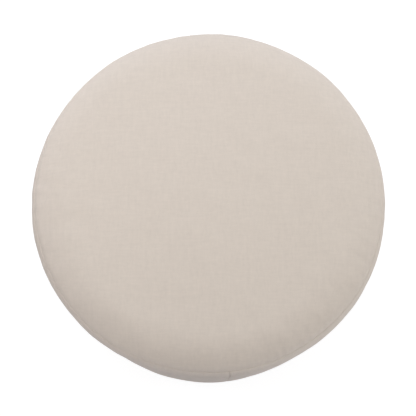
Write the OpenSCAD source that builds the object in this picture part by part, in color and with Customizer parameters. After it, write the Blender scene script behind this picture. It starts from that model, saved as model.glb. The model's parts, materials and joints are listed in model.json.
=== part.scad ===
// A round upholstered pouf: a light wooden drum, padded, in a sewn linen cover.
// Millimetres. The floor is z = 0, the axis of the drum is Z, and the front is -Y.

/* [Overall] */
// Diameter over the cover
pouf_d = 600; // [480:5:800]
// Height from the floor to the middle of the crown
pouf_h = 350; // [300:5:480]

/* [Crown and corner] */
// Slope of the crown where the shoulder begins, in degrees
crown_slope = 6; // [4:0.5:8]
// Radius of the soft shoulder round the crown
shoulder_r = 110; // [80:5:140]
// Slope of the shoulder where the corner begins, in degrees
shoulder_slope = 35; // [28:1:42]
// Radius of the corner between the shoulder and the side
corner_r = 42; // [34:1:60]
// Radius of the edge where the side turns under the base
bottom_r = 10; // [6:0.5:14]

/* [Cover] */
// Thickness of the woven cover
cover_t = 1.2; // [0.8:0.1:1.6]
// Slope on the corner where the top panel is sewn to the side, in degrees
seam_slope = 52; // [48:1:60]
// How deep the stitches pull the cover into the padding
seam_dip = 1; // [0:0.1:2]
// How far the pull of the stitches reaches to each side of the seam
seam_pull_w = 12; // [8:1:16]
// Width of the cloth turned inside along each seam
seam_allowance = 10; // [6:1:12]
// Space between the two cloths at a line of stitches
stitch_gap = 0.2; // [0.1:0.05:0.4]
// Where the front side seam stands, in degrees to the right of the front
side_seam_turn = 6.6; // [-12:0.1:12]
// Height above the bottom edge where the side seams' turned cloth begins
side_seam_foot = 14; // [8:1:30]
// Width of the hem turned under the base board
hem_w = 35; // [28:1:45]

/* [Padding] */
// Thickness of the wadding over the seat
wadding_t = 8; // [6:0.5:14]
// Thickness of the crown pad in the middle
crown_pad_t = 12; // [8:0.5:20]
// Thickness of the crown pad at its cut edge
crown_pad_edge = 1; // [0.5:0.1:3]
// Thickness of the seat foam
seat_foam_t = 65; // [50:1:100]
// Thickness of the foam round the side
side_foam_t = 12; // [8:0.5:20]
// Width of the butt joint in the side foam
foam_joint_w = 1; // [0.5:0.1:3]

/* [Drum] */
// Thickness of the base board
base_t = 18; // [15:1:25]
// Thickness of the deck board
deck_t = 15; // [12:1:22]
// Thickness of the bent wall
wall_t = 3; // [2:0.5:5]
// Width of the butt joint in the wall
wall_joint_w = 2; // [1:0.5:5]
// Width of a post, along the wall
post_w = 45; // [38:1:60]
// Thickness of a post, towards the middle
post_t = 28; // [24:1:40]
// Chamfer on the long edges of a post
post_chamfer = 1.5; // [0.5:0.5:3]
// Diameter of a vent hole in the deck
vent_d = 25; // [10:1:40]
// Distance of the vent holes in from the edge of the deck
vent_inset = 163; // [120:1:180]
// Number of vent holes
vent_count = 4; // [2:1:6]

/* [Glides] */
// Number of glides, and of posts
glide_count = 6; // [6]
// Diameter of a glide
glide_d = 30; // [24:1:40]
// Height of a glide
glide_h = 10; // [9:1:16]
// Distance of the glides' middles in from the edge of the base board
glide_inset = 83; // [60:1:110]
// Radius of a glide's lower edge
glide_edge_r = 2.5; // [1:0.5:4]
// Depth of the counterbore under a glide
glide_bore_h = 5; // [3.5:0.5:6]
// Thickness of the dust cover
dust_t = 0.5; // [0.3:0.1:1]
// How far the dust cover laps over the hem
dust_lap = 20; // [16:1:25]

/* [Fixings] */
// Diameter of a wood screw
screw_d = 4.5; // [3.5:0.5:5.5]
// Diameter of a countersunk head
screw_head_d = 9; // [8:0.5:10.5]
// Length of a wood screw
screw_l = 50; // [40:5:60]
// Distance between the two screws in a post's end
screw_pitch = 24; // [20:1:28]
// Diameter of a glide screw
glide_screw_d = 4; // [3:0.5:5]
// Diameter of a glide screw's head
glide_screw_head_d = 8; // [7:0.5:10]
// Height of a glide screw's head
glide_screw_head_h = 2.5; // [1.5:0.5:3]
// Length of a glide screw under its head
glide_screw_l = 20; // [14:1:22]
// Width of a staple over its legs
staple_w = 10; // [8:0.5:12]
// Length of a staple's legs
staple_leg = 10; // [8:0.5:12]
// Thickness of staple wire
wire_t = 0.6; // [0.4:0.1:0.8]
// Width of staple wire
wire_w = 0.9; // [0.6:0.1:1.2]
// Number of staples in the hem
hem_staple_count = 48; // [32:4:64]
// Number of staples round the dust cover
dust_staple_count = 24; // [16:4:32]
// Number of staples round each rim of the wall
rim_staple_count = 12; // [6:6:24]
// Number of staples down each post
post_staple_count = 4; // [3:1:6]
// Distance of a post's end staples from its ends
post_staple_end = 30; // [20:1:50]
// Distance between the two rows of staples beside the joint in the wall
joint_staple_pitch = 18; // [12:1:24]
// Distance of the hem's staples from its inner edge
hem_staple_inset = 8; // [6:0.5:10]
// Distance of the dust cover's staples from its edge
dust_staple_inset = 6; // [4:0.5:8]
// Width of the step where the dust cover climbs over the hem
dust_step_w = 4; // [2:0.5:6]

/* [Clearances] */
// Space between layers that lie against each other
lay_gap = 0.3; // [0.2:0.05:0.5]
// Space between the boards and the wall bent round them
wall_fit = 0.2; // [0.1:0.05:0.5]
// Space round a screw in its hole
screw_fit = 0.1; // [0.05:0.05:0.3]
// Space round a staple's wire in its hole
wire_fit = 0.05; // [0.03:0.01:0.1]

/* [Hidden] */
$fn = 96;

linen = "#d9cfc4";
wool = "#efece6";
foam = "#e6dfc8";
plywood = "#c9a877";
pine = "#d8b98a";
hardboard = "#7d5f45";
steel = "#b8babc";
nylon = "#2b2b2c";
nonwoven = "#1d1d1f";

pouf_r = pouf_d / 2;

// How far a cutting shape runs on past what it cuts
overrun = 1;

// Heights from the floor up
base_z = glide_h + dust_t + lay_gap;
base_top_z = base_z + base_t;
hem_z = base_z - lay_gap - cover_t;
bottom_z = hem_z + bottom_r;

// Depths under the outside of the cover
under_cover = cover_t + lay_gap;
under_wadding = under_cover + wadding_t + lay_gap;
turned_cloth = 2 * cover_t + lay_gap;
under_side_seam = turned_cloth + lay_gap;
under_top_seam = under_side_seam + cover_t + lay_gap;

// Heights from the crown down
pad_z = pouf_h - under_wadding - crown_pad_t;
deck_top_z = pad_z - seat_foam_t;
deck_z = deck_top_z - deck_t;

// Radii of the drum
wall_out_r = pouf_r - under_cover - side_foam_t - lay_gap;
wall_in_r = wall_out_r - wall_t;
board_r = wall_in_r - wall_fit;
post_out_x = sqrt(board_r * board_r - post_w * post_w / 4) - wall_fit;
post_mid_x = post_out_x - post_t / 2;
glide_ring_r = board_r - glide_inset;
vent_ring_r = board_r - vent_inset;
hem_in_r = board_r - hem_w;
dust_r = hem_in_r + dust_lap;

// Turns about the axis, in degrees
front = -90;
seam_turn = front + side_seam_turn;
foam_joint_turn = front + 60;
wall_joint_turn = -front;
pitch = 360 / glide_count;
first_post_turn = wall_joint_turn - pitch;
first_glide_turn = first_post_turn + pitch / 2;

function post_turn(i) = first_post_turn + (i - 1) * pitch;
function glide_turn(i) = first_glide_turn + (i - 1) * pitch;
function turn_of(length, radius) = length / radius * 180 / PI;

// Outline of the cushioned top. Three arcs share their tangents: the wide crown, the
// shoulder and the corner. A point on it is named by the slope there, in degrees from
// level, and by its depth under the outside of the cover.
crown_r = shoulder_r
    + (pouf_r - corner_r - (shoulder_r - corner_r) * sin(shoulder_slope)) / sin(crown_slope);
crown_c = [0, pouf_h - crown_r];
shoulder_c = crown_c + (crown_r - shoulder_r) * [sin(crown_slope), cos(crown_slope)];
corner_c = shoulder_c + (shoulder_r - corner_r) * [sin(shoulder_slope), cos(shoulder_slope)];

function steps(a, b, n) = [for (i = [0 : n]) a + (b - a) * i / n];

crown_steps = 8;
shoulder_steps = 10;
corner_steps = 18;
fold_steps = 6;
slopes = concat(
    steps(0, crown_slope, crown_steps),
    steps(crown_slope, shoulder_slope, shoulder_steps),
    steps(shoulder_slope, 90, corner_steps)
);
least_step = 0.5;

function slope_near_seam(along) = seam_slope + turn_of(along, corner_r);

function pull(slope) =
    let (along = abs(slope - seam_slope) * PI / 180 * corner_r)
    seam_dip * pow(max(0, 1 - along / seam_pull_w), 2);

function skin(slope, depth) =
    let (
        centre = slope <= crown_slope ? crown_c : slope <= shoulder_slope ? shoulder_c : corner_c,
        radius = slope <= crown_slope ? crown_r : slope <= shoulder_slope ? shoulder_r : corner_r
    )
    centre + (radius - depth - pull(slope)) * [sin(slope), cos(slope)];

// A point near the top seam, by its distance down from the seam and its depth
function by_seam(along, depth) = skin(slope_near_seam(along), depth);

function skin_line(from, to, depth) =
    let (inner = [for (s = slopes) if (s > from + least_step && s < to - least_step) s])
    [for (s = concat([from], inner, [to])) skin(s, depth)];

function backwards(list) = [for (i = [len(list) - 1 : -1 : 0]) list[i]];

// Slope at which the outline, at a depth, comes down to a height
function slope_at(z, depth) =
    z > skin(crown_slope, depth)[1] ? acos((z - crown_c[1]) / (crown_r - depth))
    : z > skin(shoulder_slope, depth)[1] ? acos((z - shoulder_c[1]) / (shoulder_r - depth))
    : acos((z - corner_c[1]) / (corner_r - depth));

// Half section of everything inside the cover at a depth, down to a height
function half_section(depth, low_z) = concat(
    [[0, low_z]],
    skin_line(0, 90, depth),
    [[pouf_r - depth, low_z]]
);

// A strip between two depths, from a slope on the corner down the side to a height
function strip(depth, depth_in, slope, low_z) = concat(
    skin_line(slope, 90, depth),
    [[pouf_r - depth, low_z], [pouf_r - depth_in, low_z]],
    backwards(skin_line(slope, 90, depth_in))
);

function bottom_arc(depth) = [
    for (a = steps(0, 90, fold_steps))
        [pouf_r - bottom_r, bottom_z] + (bottom_r - depth) * [cos(a), -sin(a)]
];

// The folded edge of a cloth beside the top seam: half a turn round the middle of the
// turned cloth, towards the seam (side = 1 below it, -1 above it)
fold_r = turned_cloth / 2;
fold_along = stitch_gap / 2 + fold_r;
function fold(radius, side, from, to) = [
    for (a = steps(from, to, fold_steps))
        by_seam(side * (fold_along - radius * sin(a)), fold_r - radius * cos(a))
];

// Allowance of the top panel: past the seam it runs on inside the side panel
function top_allowance(depth, from) = [
    for (s = steps(from, seam_allowance, fold_steps)) by_seam(s, depth)
];

top_cover_outline = concat(
    skin_line(0, slope_near_seam(-fold_along), 0),
    fold(fold_r, -1, 0, 90),
    top_allowance(under_side_seam, -stitch_gap / 2),
    backwards(top_allowance(under_side_seam + cover_t, -stitch_gap / 2 - cover_t)),
    fold(fold_r - cover_t, -1, 90, 0),
    backwards(skin_line(0, slope_near_seam(-fold_along), cover_t))
);

side_cover_outline = concat(
    fold(fold_r, 1, 180, 0),
    skin_line(slope_near_seam(fold_along), 90, 0),
    bottom_arc(0),
    [[hem_in_r, hem_z], [hem_in_r, hem_z + cover_t]],
    backwards(bottom_arc(cover_t)),
    backwards(skin_line(slope_near_seam(fold_along), 90, cover_t)),
    fold(fold_r - cover_t, 1, 0, 180),
    skin_line(slope_near_seam(fold_along), slope_near_seam(seam_allowance), under_cover),
    backwards(skin_line(
        slope_near_seam(fold_along), slope_near_seam(seam_allowance), turned_cloth
    ))
);

// The wadding leaves a pocket for the cloths turned inside the top seam
pocket_from = -stitch_gap / 2 - cover_t - lay_gap;
pocket_to = seam_allowance + lay_gap;
wadding_outline = concat(
    skin_line(0, slope_near_seam(pocket_from), under_cover),
    skin_line(slope_near_seam(pocket_from), slope_near_seam(pocket_to), under_top_seam),
    skin_line(slope_near_seam(pocket_to), 90, under_cover),
    [[pouf_r - under_cover, deck_top_z + lay_gap]],
    [[pouf_r - under_wadding + lay_gap, deck_top_z + lay_gap]],
    backwards(skin_line(0, 90, under_wadding - lay_gap))
);

side_seam_z = bottom_z + side_seam_foot;
pad_r = skin(slope_at(pad_z + crown_pad_edge, under_wadding), under_wadding)[0];

// Heights and turns of the staples in the wall
post_staple_zs = steps(
    base_top_z + post_staple_end, deck_z - post_staple_end, post_staple_count - 1
);
joint_staple_turn = turn_of(joint_staple_pitch / 2, wall_out_r);
rim_staple_zs = [base_z + base_t / 2, deck_top_z - deck_t / 2];

// Radii of the staples under the base
hem_staple_r = hem_in_r + hem_staple_inset;
dust_staple_r = dust_r - dust_staple_inset;
dust_low_z = hem_z - wire_t - lay_gap - dust_t;
dust_step_r = hem_in_r - dust_step_w / 2;

module about_axis(turn) {
    rotate([0, 0, turn]) children();
}

// A staple whose crown lies on the XY plane along Y, with its legs up. A grown one is its hole.
module staple(grow = 0) {
    for (side = [-1, 1])
        translate([-wire_w / 2 - grow, side * (staple_w - wire_t) / 2 - wire_t / 2 - grow, -wire_t - grow])
            cube([wire_w + 2 * grow, wire_t + 2 * grow, staple_leg + wire_t + 2 * grow]);
    translate([-wire_w / 2 - grow, -staple_w / 2 - grow, -wire_t - grow])
        cube([wire_w + 2 * grow, staple_w + 2 * grow, wire_t + 2 * grow]);
}

module hem_staple_set(grow = 0) {
    for (i = [0 : hem_staple_count - 1])
        about_axis(seam_turn + (i + 0.5) * 360 / hem_staple_count)
            translate([hem_staple_r, 0, hem_z]) staple(grow);
}

module dust_staple_set(grow = 0) {
    for (i = [0 : dust_staple_count - 1])
        about_axis(seam_turn + (i + 0.5) * 360 / dust_staple_count)
            translate([dust_staple_r, 0, dust_low_z]) staple(grow);
}

// A staple driven flush into the wall, with its crown upright and its legs inwards
module wall_staple(turn, z, grow = 0) {
    about_axis(turn) translate([wall_out_r - wire_t, 0, z])
        rotate([90, 0, 0]) rotate([0, -90, 0]) staple(grow);
}

module post_staple_set(i, grow = 0) {
    sides = post_turn(i) == wall_joint_turn ? [-joint_staple_turn, joint_staple_turn] : [0];
    for (z = post_staple_zs, side = sides) wall_staple(post_turn(i) + side, z, grow);
}

module rim_staple_set(z, grow = 0) {
    for (i = [0 : rim_staple_count - 1])
        wall_staple(first_post_turn + (i + 0.5) * 360 / rim_staple_count, z, grow);
}

// A countersunk wood screw, head up with its flat at z = 0. A grown one is its hole.
module wood_screw(grow = 0) {
    cone_h = (screw_head_d - screw_d) / 2;
    rotate_extrude() polygon([
        [0, grow], [screw_head_d / 2 + grow, grow], [screw_head_d / 2 + grow, 0],
        [screw_d / 2 + grow, -cone_h], [screw_d / 2 + grow, -screw_l + screw_d],
        [0, -screw_l - grow]
    ]);
}

module at_post_screws(i) {
    for (side = [-1, 1])
        about_axis(post_turn(i))
            translate([post_mid_x, side * screw_pitch / 2, 0]) children();
}

module deck_screw_set(grow = 0) {
    for (i = [1 : glide_count])
        at_post_screws(i) translate([0, 0, deck_top_z]) wood_screw(grow);
}

module base_screw_set(grow = 0) {
    for (i = [1 : glide_count])
        at_post_screws(i) translate([0, 0, base_z]) mirror([0, 0, 1]) wood_screw(grow);
}

module glide_screw_set(grow = 0) {
    for (i = [1 : glide_count])
        about_axis(glide_turn(i)) translate([glide_ring_r, 0, glide_bore_h]) {
            translate([0, 0, -glide_screw_head_h - grow])
                cylinder(d = glide_screw_head_d + 2 * grow, h = glide_screw_head_h + grow);
            cylinder(d = glide_screw_d + 2 * grow, h = glide_screw_l + grow);
        }
}

module base_board() {
    color(plywood) difference() {
        translate([0, 0, base_z]) cylinder(r = board_r, h = base_t);
        base_screw_set(screw_fit);
        glide_screw_set(screw_fit);
        hem_staple_set(wire_fit);
        dust_staple_set(wire_fit);
        rim_staple_set(rim_staple_zs[0], wire_fit);
    }
}

module deck_board() {
    color(plywood) difference() {
        translate([0, 0, deck_z]) cylinder(r = board_r, h = deck_t);
        for (i = [0 : vent_count - 1])
            about_axis(i * 360 / vent_count)
                translate([vent_ring_r, 0, deck_z - overrun])
                    cylinder(d = vent_d, h = deck_t + 2 * overrun);
        deck_screw_set(screw_fit);
        rim_staple_set(rim_staple_zs[1], wire_fit);
    }
}

module post(i) {
    c = post_chamfer;
    w = post_w / 2;
    color(pine) difference() {
        about_axis(post_turn(i)) translate([post_out_x - post_t, 0, base_top_z])
            linear_extrude(deck_z - base_top_z) polygon([
                [c, -w], [post_t - c, -w], [post_t, -w + c], [post_t, w - c],
                [post_t - c, w], [c, w], [0, w - c], [0, -w + c]
            ]);
        at_post_screws(i) translate([0, 0, deck_top_z]) wood_screw(screw_fit);
        at_post_screws(i) translate([0, 0, base_z]) mirror([0, 0, 1]) wood_screw(screw_fit);
        post_staple_set(i, wire_fit);
    }
}

module drum_wall() {
    joint = turn_of(wall_joint_w, wall_out_r);
    color(hardboard) difference() {
        about_axis(wall_joint_turn + joint / 2) rotate_extrude(angle = 360 - joint)
            translate([wall_in_r, base_z]) square([wall_t, deck_top_z - base_z]);
        for (i = [1 : glide_count]) post_staple_set(i, wire_fit);
        for (z = rim_staple_zs) rim_staple_set(z, wire_fit);
    }
}

module wall_staples() {
    color(steel) {
        for (i = [1 : glide_count]) post_staple_set(i);
        for (z = rim_staple_zs) rim_staple_set(z);
    }
}

module deck_screws() {
    color(steel) deck_screw_set();
}

module base_screws() {
    color(steel) base_screw_set();
}

module seat_foam() {
    color(foam) rotate_extrude() intersection() {
        polygon(half_section(under_wadding, deck_top_z));
        square([pouf_r, pad_z]);
    }
}

// A shallow lens of foam that gives the seat its crown
module crown_pad() {
    color(foam) rotate_extrude() intersection() {
        polygon(half_section(under_wadding, deck_top_z));
        translate([0, pad_z]) square([pad_r, crown_pad_t + overrun]);
    }
}

// Room inside a side seam for the cloths turned back on each side of it
module side_seam_pockets() {
    half_turn = turn_of(seam_allowance + lay_gap, pouf_r);
    for (seam = [seam_turn, seam_turn + 180])
        about_axis(seam - half_turn) rotate_extrude(angle = 2 * half_turn)
            polygon(strip(0, under_side_seam, seam_slope, side_seam_z - lay_gap));
}

module side_foam() {
    joint = turn_of(foam_joint_w, pouf_r);
    color(foam) difference() {
        about_axis(foam_joint_turn + joint / 2) rotate_extrude(angle = 360 - joint)
            polygon(concat(
                [[pouf_r - under_cover - side_foam_t, deck_top_z]],
                [[pouf_r - under_cover, deck_top_z]],
                bottom_arc(under_cover),
                [[pouf_r - under_cover - side_foam_t, base_z]]
            ));
        side_seam_pockets();
    }
}

module top_wadding() {
    color(wool) difference() {
        rotate_extrude() polygon(wadding_outline);
        side_seam_pockets();
    }
}

module top_cover() {
    color(linen) rotate_extrude() polygon(top_cover_outline);
}

// One side panel. It spans half the pouf between the two side seams, and its upright
// edges are folded back inside it, as wide as the seam allowance.
module side_panel(turn) {
    gap = turn_of(stitch_gap, pouf_r);
    folded = turn_of(seam_allowance, pouf_r);
    crease = turn_of(cover_t, pouf_r);
    from_slope = slope_near_seam(seam_allowance / 2);
    color(linen) difference() {
        about_axis(turn) {
            rotate([0, 0, gap / 2]) rotate_extrude(angle = 180 - gap)
                polygon(side_cover_outline);
            for (edge = [gap / 2, 180 - gap / 2 - folded])
                rotate([0, 0, edge]) rotate_extrude(angle = folded)
                    polygon(strip(under_cover, turned_cloth, from_slope, side_seam_z));
            for (edge = [gap / 2, 180 - gap / 2 - crease])
                rotate([0, 0, edge]) rotate_extrude(angle = crease)
                    polygon(strip(cover_t / 2, turned_cloth, from_slope, side_seam_z));
        }
        hem_staple_set(wire_fit);
        dust_staple_set(wire_fit);
    }
}

module hem_staples() {
    color(steel) hem_staple_set();
}

module dust_cover() {
    color(nonwoven) difference() {
        rotate_extrude() polygon([
            [0, glide_h], [dust_step_r - dust_step_w, glide_h], [dust_step_r, dust_low_z],
            [dust_r, dust_low_z], [dust_r, dust_low_z + dust_t],
            [dust_step_r, dust_low_z + dust_t],
            [dust_step_r - dust_step_w, glide_h + dust_t], [0, glide_h + dust_t]
        ]);
        glide_screw_set(screw_fit);
        dust_staple_set(wire_fit);
    }
}

module dust_staples() {
    color(steel) dust_staple_set();
}

module glide(i) {
    bore_r = glide_screw_head_d / 2 + screw_fit;
    hole_r = glide_screw_d / 2 + screw_fit;
    rim_r = glide_d / 2;
    color(nylon) about_axis(glide_turn(i)) translate([glide_ring_r, 0, 0])
        rotate_extrude() polygon(concat(
            [[hole_r, glide_h], [hole_r, glide_bore_h], [bore_r, glide_bore_h], [bore_r, 0]],
            [for (a = steps(-90, 0, fold_steps))
                [rim_r - glide_edge_r, glide_edge_r] + glide_edge_r * [cos(a), sin(a)]],
            [[rim_r, glide_h]]
        ));
}

module glide_screws() {
    color(steel) glide_screw_set();
}

base_board();
deck_board();
post(1);  // post_1
post(2);  // post_2
post(3);  // post_3
post(4);  // post_4
post(5);  // post_5
post(6);  // post_6
drum_wall();
wall_staples();
deck_screws();
base_screws();
seat_foam();
crown_pad();
side_foam();
top_wadding();
top_cover();
side_panel(seam_turn + 180);  // side_cover_front
side_panel(seam_turn);  // side_cover_back
hem_staples();
dust_cover();
dust_staples();
glide(1);  // glide_1
glide(2);  // glide_2
glide(3);  // glide_3
glide(4);  // glide_4
glide(5);  // glide_5
glide(6);  // glide_6
glide_screws();
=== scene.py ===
"""A round upholstered pouf: a sewn linen-look cover over wadding, foam and a wooden drum.

Metres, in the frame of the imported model: the floor is z = 0 and the front is -Y. A place on
the cover is given by its turn about the axis, its length along the cover from the top seam
(up to the middle is negative, down to the hem is positive) and its depth under the outside.
"""

import json
import math

import bmesh
import bpy
import numpy as np
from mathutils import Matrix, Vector

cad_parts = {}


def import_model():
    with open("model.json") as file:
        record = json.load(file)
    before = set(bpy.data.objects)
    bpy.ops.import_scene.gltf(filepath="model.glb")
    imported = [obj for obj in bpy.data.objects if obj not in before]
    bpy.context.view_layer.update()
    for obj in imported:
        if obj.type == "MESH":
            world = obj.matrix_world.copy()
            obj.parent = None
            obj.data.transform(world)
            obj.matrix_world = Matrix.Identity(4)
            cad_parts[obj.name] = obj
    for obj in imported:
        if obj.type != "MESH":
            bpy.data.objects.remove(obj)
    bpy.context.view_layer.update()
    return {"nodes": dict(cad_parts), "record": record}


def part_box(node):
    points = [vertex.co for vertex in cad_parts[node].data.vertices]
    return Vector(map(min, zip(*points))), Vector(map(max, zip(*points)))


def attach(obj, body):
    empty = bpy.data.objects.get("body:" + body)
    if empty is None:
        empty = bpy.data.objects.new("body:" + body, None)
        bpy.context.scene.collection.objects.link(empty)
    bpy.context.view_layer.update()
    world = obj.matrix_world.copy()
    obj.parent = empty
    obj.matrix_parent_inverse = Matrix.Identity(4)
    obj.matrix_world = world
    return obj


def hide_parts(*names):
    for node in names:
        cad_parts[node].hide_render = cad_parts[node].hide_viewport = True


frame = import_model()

MM = 0.001
SEED = 235
TURN = 2 * math.pi

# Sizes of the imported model
POUF_R = round(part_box("side_cover_back")[1].y, 3)
POUF_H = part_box("top_cover")[1].z
HEM_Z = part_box("side_cover_back")[0].z
DECK_TOP_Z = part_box("deck_board")[1].z
BASE_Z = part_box("base_board")[0].z
PAD_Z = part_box("crown_pad")[0].z
PAD_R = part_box("crown_pad")[1].x
DUST_LOW_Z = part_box("dust_cover")[0].z
DUST_R = round(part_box("dust_cover")[1].x, 3)
GLIDE_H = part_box("glide_1")[1].z
GLIDE_D = (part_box("glide_1")[1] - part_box("glide_1")[0]).x
FIRST_GLIDE = (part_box("glide_1")[0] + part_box("glide_1")[1]) / 2
GLIDE_COUNT = 6

# The outline
CROWN_SLOPE = math.radians(6)
SHOULDER_SLOPE = math.radians(35)
SEAM_SLOPE = math.radians(54.5)  # 52 on the solids, but the photograph shows the seam lower
SHOULDER_R = 110 * MM
CORNER_R = 42 * MM
BOTTOM_R = 10 * MM
HEM_IN_R = 248 * MM

# The cloth and its seams
COVER_T = 1.2 * MM
LAY_GAP = 0.3 * MM
STITCH_GAP = 0.2 * MM
SIDE_SEAM_GAP = 0.45 * MM  # 0.2 mm on the solids, but the photograph shows a darker line
SEAM_DIP = 1 * MM
SEAM_PULL_W = 12 * MM
ALLOWANCE = 10 * MM
SEAM_TURN = math.radians(-90 + 6.6)
SIDE_SEAM_FOOT = 14 * MM
HEM_STAPLES = 48

# The padding
WADDING_T = 8 * MM
SIDE_FOAM_T = 12 * MM
FOAM_JOINT_TURN = math.radians(-30)
FOAM_JOINT_W = 1 * MM
CROWN_PAD_EDGE = 1 * MM
DUST_T = 0.5 * MM

# Depths under the outside of the cover
MID = COVER_T / 2
UNDER_COVER = COVER_T + LAY_GAP
TURNED_CLOTH = 2 * COVER_T + LAY_GAP
UNDER_SIDE_SEAM = TURNED_CLOTH + LAY_GAP
UNDER_TOP_SEAM = UNDER_SIDE_SEAM + COVER_T + LAY_GAP
UNDER_WADDING = UNDER_COVER + WADDING_T + LAY_GAP

# The middle of a folded edge
FOLD_R = TURNED_CLOTH / 2
FOLD_MID_R = FOLD_R - MID
FOLD_ALONG = STITCH_GAP / 2 + FOLD_R
FOLD_TURN = (SIDE_SEAM_GAP / 2 + FOLD_R) / POUF_R


def facing(slope):
    """The outward direction (radial, up) where the cover slopes this much from level."""
    return np.stack([np.sin(slope), np.cos(slope)], -1)


CROWN_R = SHOULDER_R + (
    POUF_R - CORNER_R - (SHOULDER_R - CORNER_R) * math.sin(SHOULDER_SLOPE)
) / math.sin(CROWN_SLOPE)
CROWN_C = np.array([0, POUF_H - CROWN_R])
SHOULDER_C = CROWN_C + (CROWN_R - SHOULDER_R) * facing(CROWN_SLOPE)
CORNER_C = SHOULDER_C + (SHOULDER_R - CORNER_R) * facing(SHOULDER_SLOPE)
BOTTOM_C = np.array([POUF_R - BOTTOM_R, HEM_Z + BOTTOM_R])

# Lengths along the cover where its arcs meet
CORNER_TOP = -(SEAM_SLOPE - SHOULDER_SLOPE) * CORNER_R
SHOULDER_TOP = CORNER_TOP - (SHOULDER_SLOPE - CROWN_SLOPE) * SHOULDER_R
CENTRE = SHOULDER_TOP - CROWN_SLOPE * CROWN_R
EQUATOR = (math.pi / 2 - SEAM_SLOPE) * CORNER_R
FOOT = EQUATOR + CORNER_C[1] - BOTTOM_C[1]
UNDER = FOOT + BOTTOM_R * math.pi / 2
HEM_END = UNDER + POUF_R - BOTTOM_R - HEM_IN_R


def outline(along):
    """The even outside of the cover: points (radial, up), and the way that they face."""
    arcs = [along < SHOULDER_TOP, along < CORNER_TOP, along < EQUATOR, along < FOOT, along < UNDER]
    slope = np.select(arcs, [
        CROWN_SLOPE + (along - SHOULDER_TOP) / CROWN_R,
        SHOULDER_SLOPE + (along - CORNER_TOP) / SHOULDER_R,
        SEAM_SLOPE + along / CORNER_R,
        np.full(along.shape, math.pi / 2),
        math.pi / 2 + (along - FOOT) / BOTTOM_R,
    ], math.pi)
    n = facing(slope)
    wall = np.stack([np.full(along.shape, POUF_R), CORNER_C[1] - (along - EQUATOR)], -1)
    hem = np.stack([BOTTOM_C[0] - (along - UNDER), np.full(along.shape, HEM_Z)], -1)
    return np.select([arc[..., None] for arc in arcs], [
        CROWN_C + CROWN_R * n,
        SHOULDER_C + SHOULDER_R * n,
        CORNER_C + CORNER_R * n,
        wall,
        BOTTOM_C + BOTTOM_R * n,
    ], hem), n


def about_axis(turn, section):
    """Points in space from a turn and points (radial, up)."""
    radial, up = section[..., 0], section[..., 1]
    return np.stack([radial * np.cos(turn), radial * np.sin(turn), up], -1)


def fade(distance, reach):
    """1 at a distance of 0, falling smoothly to 0 at reach."""
    t = np.clip(1 - np.abs(distance) / reach, 0, 1)
    return t * t * (3 - 2 * t)


def waves(points, count, shortest, longest, seed):
    """A smooth random field in space, about 1 high, of plane waves between two lengths."""
    rng = np.random.default_rng(seed)
    field = np.zeros(points.shape[:-1])
    for _ in range(count):
        direction = rng.normal(size=3)
        rate = TURN / rng.uniform(shortest, longest) / np.linalg.norm(direction)
        field += np.cos(points @ direction * rate + rng.uniform(0, TURN))
    return field / math.sqrt(count / 2)


def ripple(run, loop, shortest, longest, seed):
    """A random ripple along a line, about 1 high, that repeats after a length of loop."""
    rng = np.random.default_rng(seed)
    count = 12
    total = np.zeros(np.shape(run))
    for length in rng.uniform(shortest, longest, count):
        total += np.cos(run * TURN * round(loop / length) / loop + rng.uniform(0, TURN))
    return total / math.sqrt(count / 2)


def across_side_seam(turn):
    """The signed distance round the side from the nearer of its two upright seams."""
    return ((turn - SEAM_TURN + math.pi / 2) % math.pi - math.pi / 2) * POUF_R


# What is uneven about the cover, and how high it stands
UNEVEN = 0.75 * MM
LUMPS = 0.2 * MM
SEAM_GATHERS = 0.1 * MM
SEAM_PUCKERS = 0.06 * MM
SIDE_SEAM_DIP = 0.25 * MM
SIDE_SEAM_PUCKERS = 0.14 * MM
HEM_TUCKS = 0.7 * MM
SEAM_WANDER = 0.7 * MM

# How far from a seam or an edge it fades away
GATHERS_REACH = 48 * MM
PUCKERS_REACH = 24 * MM
SIDE_SEAM_W = 6 * MM
WANDER_REACH = 60 * MM
HEM_TUCKS_REACH = 44 * MM

# Its shortest and longest waves
UNEVEN_WAVES = (180 * MM, 520 * MM)
LUMPS_WAVES = (35 * MM, 90 * MM)
GATHERS_WAVES = (24 * MM, 60 * MM)
PUCKERS_WAVES = (9 * MM, 20 * MM)
SIDE_PUCKERS_WAVES = (10 * MM, 26 * MM)
WANDER_WAVES = (90 * MM, 300 * MM)
SEAM_LOOP = TURN * POUF_R  # the length after which a ripple round the pouf repeats


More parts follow.
